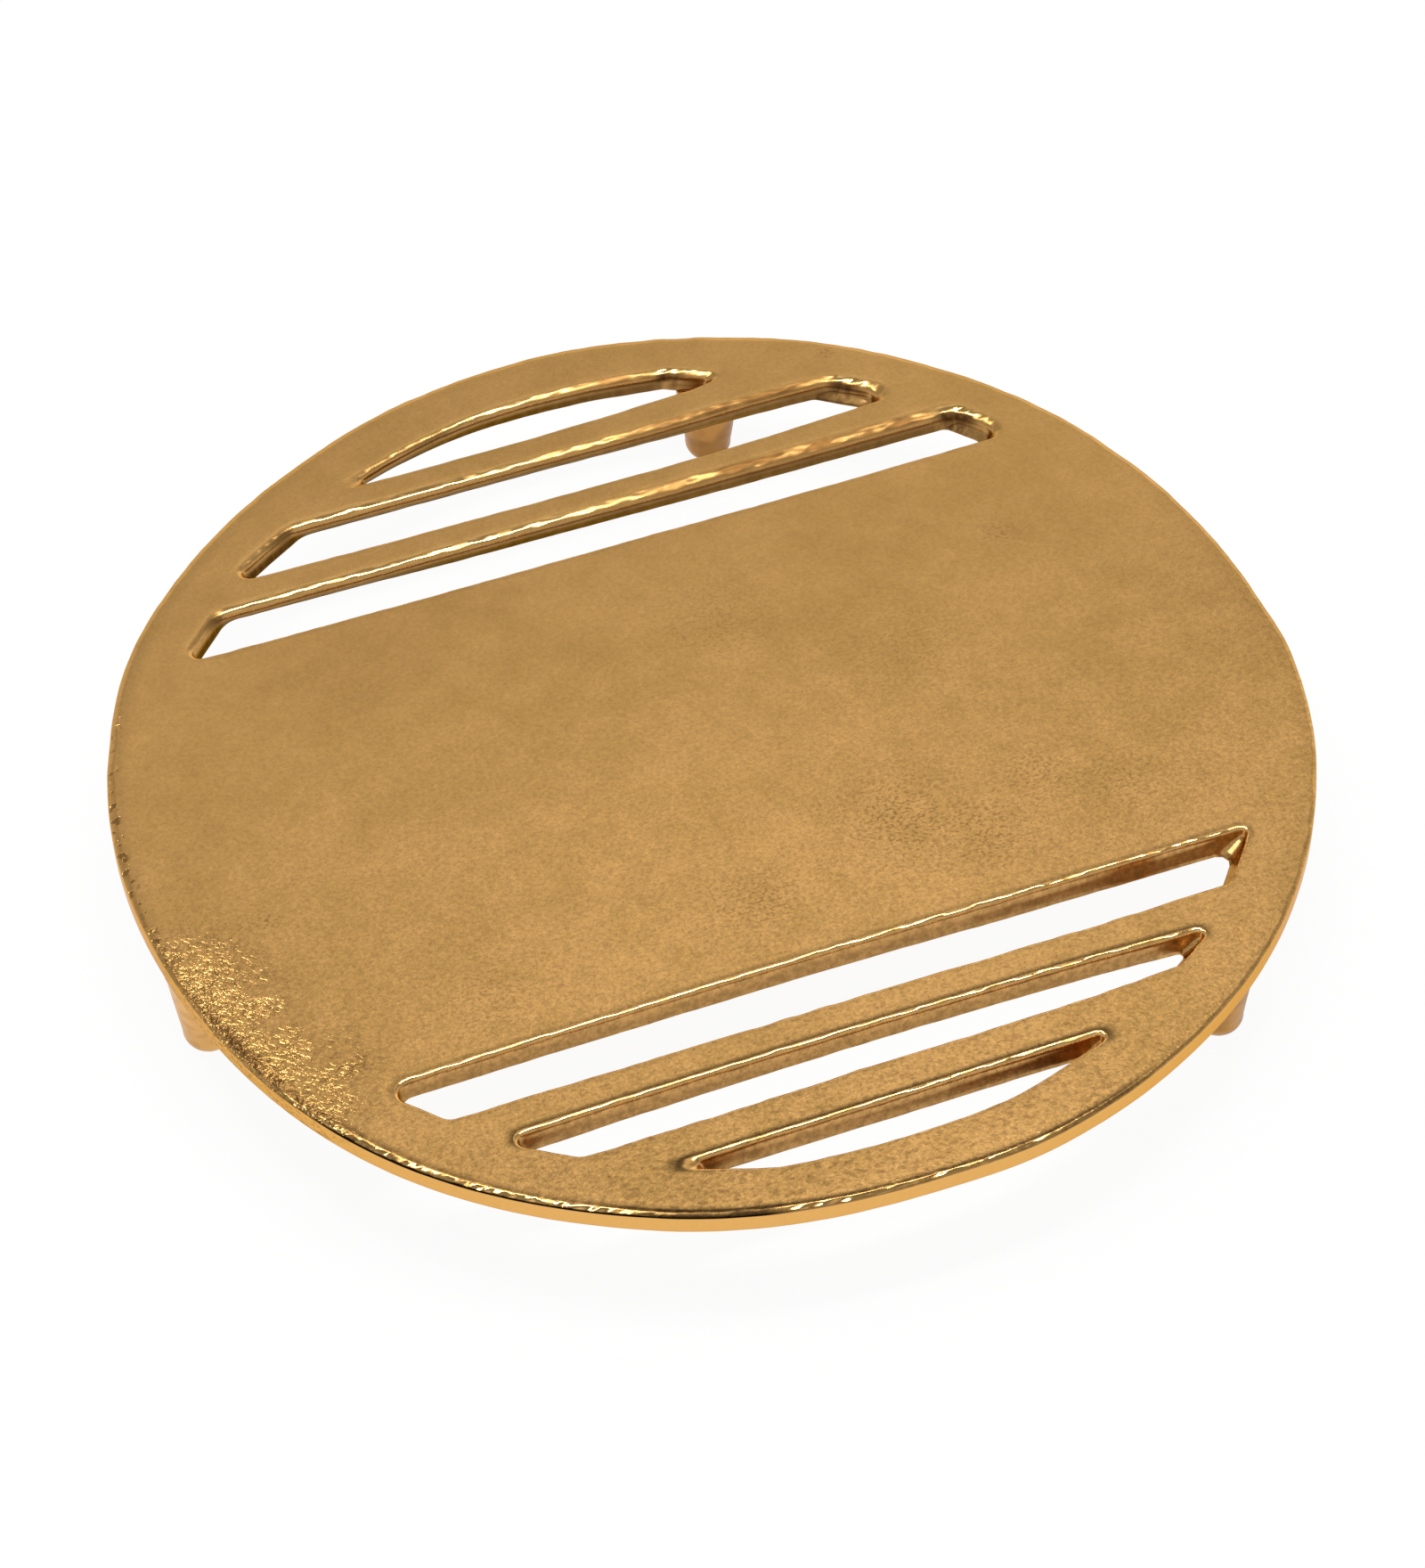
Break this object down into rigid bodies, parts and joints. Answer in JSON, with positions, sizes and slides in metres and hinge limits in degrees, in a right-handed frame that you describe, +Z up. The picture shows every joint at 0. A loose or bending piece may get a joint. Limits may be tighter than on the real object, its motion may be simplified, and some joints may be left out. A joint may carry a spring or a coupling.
{
  "type": "trivet",
  "caption": "Round cast metal trivet: a flat slotted disc with a plain centre field, standing on short tapered peg feet.",
  "frame": {"origin": "centre of the disc, on the table that the feet stand on", "axes": "+Z up, +X along the slots, +Y towards the far row of slots, under which the back foot stands"},
  "size_m": [0.2, 0.2, 0.022],
  "materials": {
    "cast_brass": "satin as-cast gold tone with fine pebbled grain and brighter worn edges"
  },
  "bodies": {
    "root": {"plate": "cast_brass", "back_foot": "cast_brass", "left_foot": "cast_brass", "right_foot": "cast_brass"}
  },
  "joints": []
}
